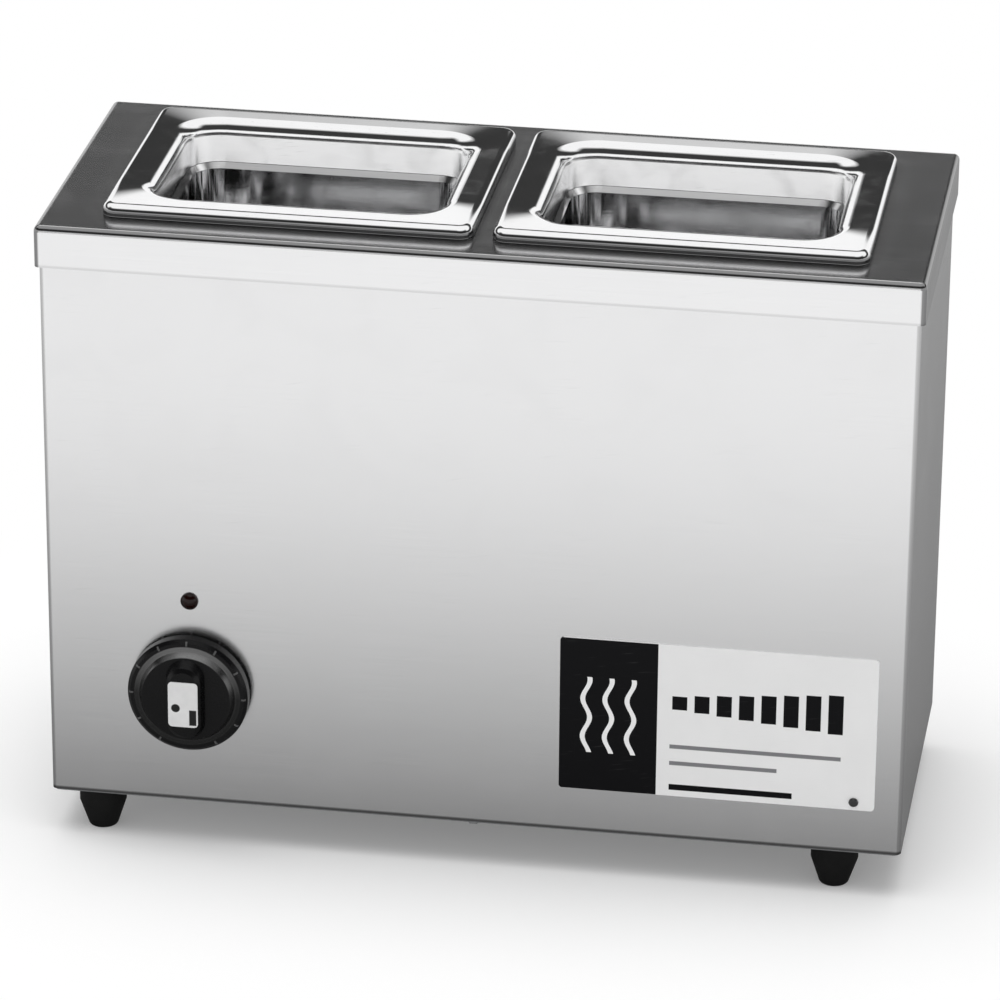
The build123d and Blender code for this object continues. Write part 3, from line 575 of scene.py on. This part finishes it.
def dialFinish():
    material, tree, shader, place = startMaterial("dial black")
    low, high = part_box("dial_knob")
    middle = (low + high) / 2

    def ring(inner, outer, soft):
        return useGroup(tree, discMaskGroup, Vector=place, X=middle.x, Z=middle.z, Inner=inner, Outer=outer,
                        Soft=soft)

    skirt = ring(*dialSettings["markRing"], dialSettings["markSoft"])
    turn = mathNode(tree, "DEGREES", skirt["Turn"])
    steps = mathNode(tree, "DIVIDE", turn, dialSettings["markStep"])
    away = mathNode(tree, "ABSOLUTE", mathNode(tree, "SUBTRACT", steps, mathNode(tree, "ROUND", steps)))
    narrow = mathNode(tree, "LESS_THAN", away, dialSettings["markHalf"] / dialSettings["markStep"])
    spanned = mathNode(tree, "LESS_THAN", mathNode(tree, "ABSOLUTE", turn), dialSettings["markSpan"])
    marks = chain(tree, "MULTIPLY", [skirt["Mask"], narrow, spanned])
    # a glossy coat on the crown and the fall, but not the grip
    inner, outer = dialSettings["fall"]
    crown = ring(dialSettings["rubbedFrom"], outer, dialSettings["rubbedSoft"])
    offGrip = mathNode(tree, "GREATER_THAN", axesOf(tree, place)["Y"], low.y + dialSettings["gripDepth"])
    rubbed = mathNode(tree, "MULTIPLY", crown["Mask"], offGrip)
    speck = speckle(tree, shader, place, dialSettings)
    dark = toned(dialSettings["colour"], dialSettings["patchTone"])
    colour = mixColour(tree, speck["Broad"], dark, dialSettings["colour"])
    colour = mixColour(tree, marks, colour, dialSettings["mark"])
    feed(tree, shader["Base Color"], mixColour(tree, rubbed, colour, dialSettings["rubbedTone"]))
    # a painted highlight: the coat is strongest at the top
    topHighlight = mathNode(tree, "MAXIMUM", mathNode(tree, "COSINE", crown["Turn"]), 0.0)
    least = dialSettings["leastTopSheen"]
    topSheen = mathNode(tree, "MULTIPLY_ADD", topHighlight, 1 - least, least)
    feed(tree, shader["Coat Weight"], mathNode(tree, "MULTIPLY", rubbed, topSheen))
    feed(tree, shader["Coat IOR"], dialSettings["shineIndex"])
    feed(tree, shader["Coat Roughness"], dialSettings["shineRough"])
    fall = rampNode(tree, skirt["Radius"], inner, outer, 0.0, (inner - outer) * dialSettings["fallSlope"],
                    curve="SMOOTHERSTEP")
    pits = mathNode(tree, "MULTIPLY", speck["Fine"], dialSettings["pitDepth"])
    addBump(tree, shader, mathNode(tree, "ADD", pits, fall))
    return material


paint(dialFinish(), "dial_knob")
print("dial painted")

# the printed plate: dark end block with three rising waves, pale field with a stepped scale and bars.
# places and sizes are shares of the plate's width and height, counted from its middle
plateSettings = {
    "pale": (0.9, 0.9, 0.9),
    "dark": (0.004, 0.004, 0.005),
    "grey": (0.22, 0.22, 0.23),
    "block": (-0.345, 0.0, 0.155, 0.5),  # place across and up, then half width and half height
    "waves": (-0.07, 0.0, 0.07),  # places across, from the block's middle
    "waveField": (0.04, 0.25),
    "waveSwing": 0.0017,  # metres, as are the next two
    "waveLength": 0.02,
    "waveHalfWidth": 0.0012,
    "steps": 8,
    "firstStep": (-0.12, 0.12, 0.024, 0.045),
    "stepPitch": 0.07,
    "stepGrowth": 0.012,
    "greyBars": ((0.12, -0.17, 0.27, 0.014), (0.02, -0.28, 0.17, 0.014)),
    "darkBar": (0.045, -0.44, 0.195, 0.02),
    "scale": 2400.0,
    "patch": 40.0,
    "patchTone": 0.94,
    "pitBump": 0.08,
    "pitDepth": 0.0001,
    "smudge": 90.0,
    "worn": 0.04,
    "wornColour": (0.4, 0.4, 0.4),
    "rough": 0.3,
    "roughSpread": 0.12,
    "gloss": 0.12,
}


def platePrint():
    material, tree, shader, place = startMaterial("plate print")
    low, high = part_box("name_plate")
    middle, size = (low + high) / 2, high - low

    def rectangle(across, up, halfWidth, halfHeight):
        mask = useGroup(tree, boxMaskGroup, Vector=place, X=middle.x + across * size.x,
                        Z=middle.z + up * size.z, Half_X=halfWidth * size.x, Half_Z=halfHeight * size.z)
        return mask["Mask"]

    parts = axesOf(tree, place)
    blockAcross, blockUp = plateSettings["block"][:2]
    phase = mathNode(tree, "MULTIPLY", parts["Z"], math.tau / plateSettings["waveLength"])
    swing = mathNode(tree, "SINE", phase)
    waves = []
    for across in plateSettings["waves"]:
        across += blockAcross
        line = mathNode(tree, "MULTIPLY_ADD", swing, plateSettings["waveSwing"], middle.x + across * size.x)
        away = mathNode(tree, "ABSOLUTE", mathNode(tree, "SUBTRACT", parts["X"], line))
        near = mathNode(tree, "LESS_THAN", away, plateSettings["waveHalfWidth"])
        field = rectangle(across, blockUp, *plateSettings["waveField"])
        waves.append(mathNode(tree, "MULTIPLY", near, field))
    across, up, halfWidth, halfHeight = plateSettings["firstStep"]
    steps = [rectangle(across + plateSettings["stepPitch"] * n, up, halfWidth,
                       halfHeight + plateSettings["stepGrowth"] * n) for n in range(plateSettings["steps"])]
    darks = [rectangle(*plateSettings["block"]), rectangle(*plateSettings["darkBar"])] + steps
    greys = [rectangle(*bar) for bar in plateSettings["greyBars"]]
    speck = speckle(tree, shader, place, plateSettings)
    wear = useGroup(tree, wearGroup, Vector=place, Smudge_Scale=plateSettings["smudge"])
    pale = plateSettings["pale"]
    colour = mixColour(tree, speck["Broad"], pale, toned(pale, plateSettings["patchTone"]))
    for masks, ink in ((darks, plateSettings["dark"]), (greys, plateSettings["grey"]), (waves, pale)):
        colour = mixColour(tree, chain(tree, "MAXIMUM", masks), colour, ink)
    worn = mathNode(tree, "MULTIPLY", wear["Scratch"], plateSettings["worn"])
    feed(tree, shader["Base Color"], mixColour(tree, worn, colour, plateSettings["wornColour"]))
    addBump(tree, shader, speck["Fine"], plateSettings["pitBump"], plateSettings["pitDepth"])
    return material


paint(platePrint(), "name_plate")
print("plate painted")

# the bright inlay on the dial's grip, with two plain marks
inlaySettings = {
    "bright": (0.92, 0.92, 0.92),
    "patchColour": (0.78, 0.78, 0.78),
    "mark": (0.008, 0.008, 0.008),
    "dot": (-0.0036, -0.0019),  # place from the middle
    "dotRadii": (-0.01, 0.0023),  # the inner one is below 0, so that the disc has no hole
    "bar": (0.0048, -0.0066),
    "barHalf": (0.0019, 0.0042),
    "soft": 0.0003,
    "scale": 3000.0,
    "patch": 200.0,
    "metal": 0.25,
    "rough": 0.3,
    "roughSpread": 0.15,
    "pitBump": 0.1,
    "pitDepth": 0.0001,
}


def inlayPrint():
    material, tree, shader, place = startMaterial("dial inlay")
    low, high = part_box("dial_insert")
    middle = (low + high) / 2
    across, up = inlaySettings["dot"]
    inner, outer = inlaySettings["dotRadii"]
    dot = useGroup(tree, discMaskGroup, Vector=place, X=middle.x + across, Z=middle.z + up, Inner=inner,
                   Outer=outer, Soft=inlaySettings["soft"])
    across, up = inlaySettings["bar"]
    halfWidth, halfHeight = inlaySettings["barHalf"]
    bar = useGroup(tree, boxMaskGroup, Vector=place, X=middle.x + across, Z=middle.z + up, Half_X=halfWidth,
                   Half_Z=halfHeight, Soft=inlaySettings["soft"])
    marks = mathNode(tree, "MAXIMUM", dot["Mask"], bar["Mask"])
    speck = speckle(tree, shader, place, inlaySettings)
    base = mixColour(tree, speck["Broad"], inlaySettings["bright"], inlaySettings["patchColour"])
    feed(tree, shader["Base Color"], mixColour(tree, marks, base, inlaySettings["mark"]))
    feed(tree, shader["Metallic"], inlaySettings["metal"])
    addBump(tree, shader, speck["Fine"], inlaySettings["pitBump"], inlaySettings["pitDepth"])
    return material


paint(inlayPrint(), "dial_insert")
print("inlay painted")

# a small radius on the hard edges of the small pieces
edgeSettings = {
    "radii": {
        "dial_knob": 0.0006, "name_plate": 0.00012, "dial_insert": 0.00015, "plate_rivet": 0.0003,
        "foot_front_left": 0.0008, "foot_front_right": 0.0008, "foot_rear_left": 0.0008,
        "foot_rear_right": 0.0008,
        "rear_screws": 0.0003, "cover_screws": 0.0003, "base_screws": 0.0003, "foot_screws": 0.0003,
        "cord_bushing": 0.0003, "terminal_block": 0.0004, "thermostat": 0.0004,
    },
    "weld": 0.000001,
    "segments": 2,
    "angle": 30.0,  # degrees from which an edge is hard
    "flatWeight": 80,
}


def smoothen(name):
    # round faces are shaded round
    mesh = nodes[name].data
    mesh.polygons.foreach_set("use_smooth", [True] * len(mesh.polygons))
    mesh.update()


def soften(name, radius):
    piece = nodes[name]
    weld = piece.modifiers.new("joined faces", "WELD")
    weld.merge_threshold = edgeSettings["weld"]
    bevel = piece.modifiers.new("edge radius", "BEVEL")
    bevel.width = radius
    bevel.segments = edgeSettings["segments"]
    bevel.limit_method = "ANGLE"
    bevel.angle_limit = math.radians(edgeSettings["angle"])
    # flat faces stay flat in the shading
    flat = piece.modifiers.new("flat faces", "WEIGHTED_NORMAL")
    flat.mode = "FACE_AREA"
    flat.weight = edgeSettings["flatWeight"]


for name in nodes:
    smoothen(name)
for name, radius in edgeSettings["radii"].items():
    soften(name, radius)
print("edges softened")

# floor, sky and lamp
studioSettings = {
    "floorSize": 6.0,
    "floorColour": (0.95, 0.95, 0.95),
    "floorGlow": 0.18,  # share of its own light that the camera sees at the casing's foot
    "plainFloor": 0.2,  # metres from the casing at which that share is whole, and the floor plain white
    "metalGlow": 0.9,  # the share that metal sees
    "footShade": 0.15,  # how bright metal sees the floor at the casing's foot, as painted shade
    "frontClimb": 1.65,  # and how much brighter for each metre away from it
    "sideClimb": 0.85,
    "rearClimb": 0.1,
    "climbCurve": 1.15,
    "farShade": (1.5, 2.8, 1.0, 0.2),  # start and end of a fade before the casing, then from and to what
    "worldFill": 0.52,
    "rearBand": (13.0, 16.5, 31.0, 39.0),  # degrees up at which metal sees the sky go dark, and pale again
    "frontBand": (17.0, 20.0, 50.0, 64.0),
    "bandTone": 0.04,
    "bandTurn": (-0.3, 0.1),  # the direction's part along Y over which the front band becomes the rear one
    "lampPower": 100.0,
    "lampSize": 3.2,  # metres along each side
    "lampPlace": (-0.2, -0.1, 3.6),
    "lampAim": (0.0, 0.0, 0.1),
}


def shownRays(tree):
    # 1 for rays that show the background: from the camera, or by way of metal or glass
    paths = addNode(tree, "ShaderNodeLightPath").outputs
    rays = [paths[kind] for kind in ("Is Camera Ray", "Is Glossy Ray", "Is Transmission Ray")]
    return chain(tree, "MAXIMUM", rays), paths["Is Glossy Ray"]


def makeFloor():
    size = studioSettings["floorSize"]
    corners = [(-size, -size, 0), (size, -size, 0), (size, size, 0), (-size, size, 0)]
    mesh = bpy.data.meshes.new("floor")
    mesh.from_pydata(corners, [], [(0, 1, 2, 3)])
    floor = bpy.data.objects.new("floor", mesh)
    scene.collection.objects.link(floor)
    material = bpy.data.materials.new("floor")
    material.use_nodes = True
    tree = material.node_tree
    tree.nodes.remove(tree.nodes["Principled BSDF"])
    shown, glossy = shownRays(tree)
    parts = axesOf(tree, addNode(tree, "ShaderNodeTexCoord").outputs["Object"])
    low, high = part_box("body_wrap")
    beside = mathNode(tree, "SUBTRACT", mathNode(tree, "ABSOLUTE", parts["X"]), high.x)
    before = mathNode(tree, "SUBTRACT", low.y, parts["Y"])
    behind = mathNode(tree, "SUBTRACT", parts["Y"], high.y)

    def distanceFromFoot(*shares):
        sides = []
        for away, share in zip((beside, before, behind), shares):
            sides.append(mathNode(tree, "MULTIPLY", mathNode(tree, "MAXIMUM", away, 0.0), share))
        return lengthOf(tree, *sides)

    # metal sees the floor grow paler away from the casing, and less so beside and behind it: painted shade on
    # the floor, seen only in reflections
    front = studioSettings["frontClimb"]
    away = distanceFromFoot(studioSettings["sideClimb"] / front, 1.0, studioSettings["rearClimb"] / front)
    climb = mathNode(tree, "MULTIPLY_ADD", away, front, studioSettings["footShade"], clamp=True)
    climb = mathNode(tree, "POWER", climb, studioSettings["climbCurve"])
    fade = rampNode(tree, before, *studioSettings["farShade"], curve="SMOOTHSTEP")
    tone = mixValue(tree, glossy, 1.0, mathNode(tree, "MULTIPLY", climb, fade))
    plain = rampNode(tree, distanceFromFoot(1.0, 1.0, 1.0), 0.0, studioSettings["plainFloor"],
                     studioSettings["floorGlow"], 1.0, curve="SMOOTHSTEP")
    share = mixValue(tree, glossy, plain, studioSettings["metalGlow"])
    matte = addNode(tree, "ShaderNodeBsdfDiffuse")
    feed(tree, matte.inputs["Color"], (*studioSettings["floorColour"], 1.0))
    glow = addNode(tree, "ShaderNodeEmission")
    feed(tree, glow.inputs["Strength"], tone)
    mixed = addNode(tree, "ShaderNodeMixShader")
    factor = mathNode(tree, "MULTIPLY", shown, share)
    for socket, value in zip(mixed.inputs, (factor, matte.outputs[0], glow.outputs[0])):
        feed(tree, socket, value)
    feed(tree, tree.nodes["Material Output"].inputs["Surface"], mixed.outputs[0])
    mesh.materials.append(material)


def makeWorld():
    world = bpy.data.worlds.new("studio")
    world.use_nodes = True
    scene.world = world
    tree = world.node_tree
    parts = axesOf(tree, addNode(tree, "ShaderNodeTexCoord").outputs["Generated"])
    rise = mathNode(tree, "MULTIPLY_ADD", parts["Z"], 0.5, 0.5)  # from -1..1 to the ramp's 0..1
    dark = studioSettings["bandTone"]
    bands = []
    for heights in (studioSettings["frontBand"], studioSettings["rearBand"]):
        band = addNode(tree, "ShaderNodeValToRGB")
        stops = band.color_ramp.elements
        while len(stops) < len(heights):
            stops.new(0.5)
        for stop, height, tone in zip(stops, heights, (1.0, dark, dark, 1.0)):
            stop.position = 0.5 + 0.5 * math.sin(math.radians(height))  # the same for the ramp's stops
            stop.color = (tone, tone, tone, 1.0)
        feed(tree, band.inputs[0], rise)
        bands.append(band.outputs[0])
    rearward = rampNode(tree, parts["Y"], *studioSettings["bandTurn"], curve="SMOOTHSTEP")
    shown, glossy = shownRays(tree)
    seen = mixValue(tree, glossy, 1.0, mixValue(tree, rearward, *bands))
    background = tree.nodes["Background"].inputs
    feed(tree, background["Color"], (1.0, 1.0, 1.0, 1.0))
    feed(tree, background["Strength"], mixValue(tree, shown, studioSettings["worldFill"], seen))


def makeLamp():
    lamp = bpy.data.lights.new("overhead", "AREA")
    lamp.size = studioSettings["lampSize"]
    lamp.energy = studioSettings["lampPower"]
    holder = bpy.data.objects.new("overhead", lamp)
    holder.location = studioSettings["lampPlace"]
    aim = Vector(studioSettings["lampAim"]) - holder.location
    holder.rotation_euler = aim.to_track_quat("-Z", "Y").to_euler()
    holder.visible_glossy = False  # steel mirrors the sky there, which keeps its grain in sight
    scene.collection.objects.link(holder)


# the view, in metres and degrees
cameraSettings = {
    "focal": 5.79257,  # focal length, in widths of the picture
    "filmWidth": 36.0,  # millimetres
    "turn": 8.87,
    "height": 24.0,
    "roll": 0.47,
    "distance": 2.83049,
    "aim": (0.0, 0.007, 0.15),
    "aside": -0.00093,
    "up": 0.00597,
    "farthest": 50.0,
}


def makeCamera():
    turn, height, roll = (math.radians(cameraSettings[key]) for key in ("turn", "height", "roll"))
    back = Vector((math.sin(turn) * math.cos(height), -math.cos(turn) * math.cos(height), math.sin(height)))
    level = Vector((math.cos(turn), math.sin(turn), 0))
    upright = back.cross(level)
    right = math.cos(roll) * level + math.sin(roll) * upright
    up = math.cos(roll) * upright - math.sin(roll) * level
    data = bpy.data.cameras.new("camera")
    data.sensor_width = cameraSettings["filmWidth"]
    data.lens = cameraSettings["filmWidth"] * cameraSettings["focal"]
    data.clip_end = cameraSettings["farthest"]
    camera = bpy.data.objects.new("camera", data)
    eye = Vector(cameraSettings["aim"]) + back * cameraSettings["distance"]
    eye += right * cameraSettings["aside"] + up * cameraSettings["up"]
    camera.matrix_world = Matrix((right, up, back)).transposed().to_4x4()
    camera.matrix_world.translation = eye
    scene.collection.objects.link(camera)
    scene.camera = camera


makeFloor()
makeWorld()
makeLamp()
makeCamera()
print("studio ready")
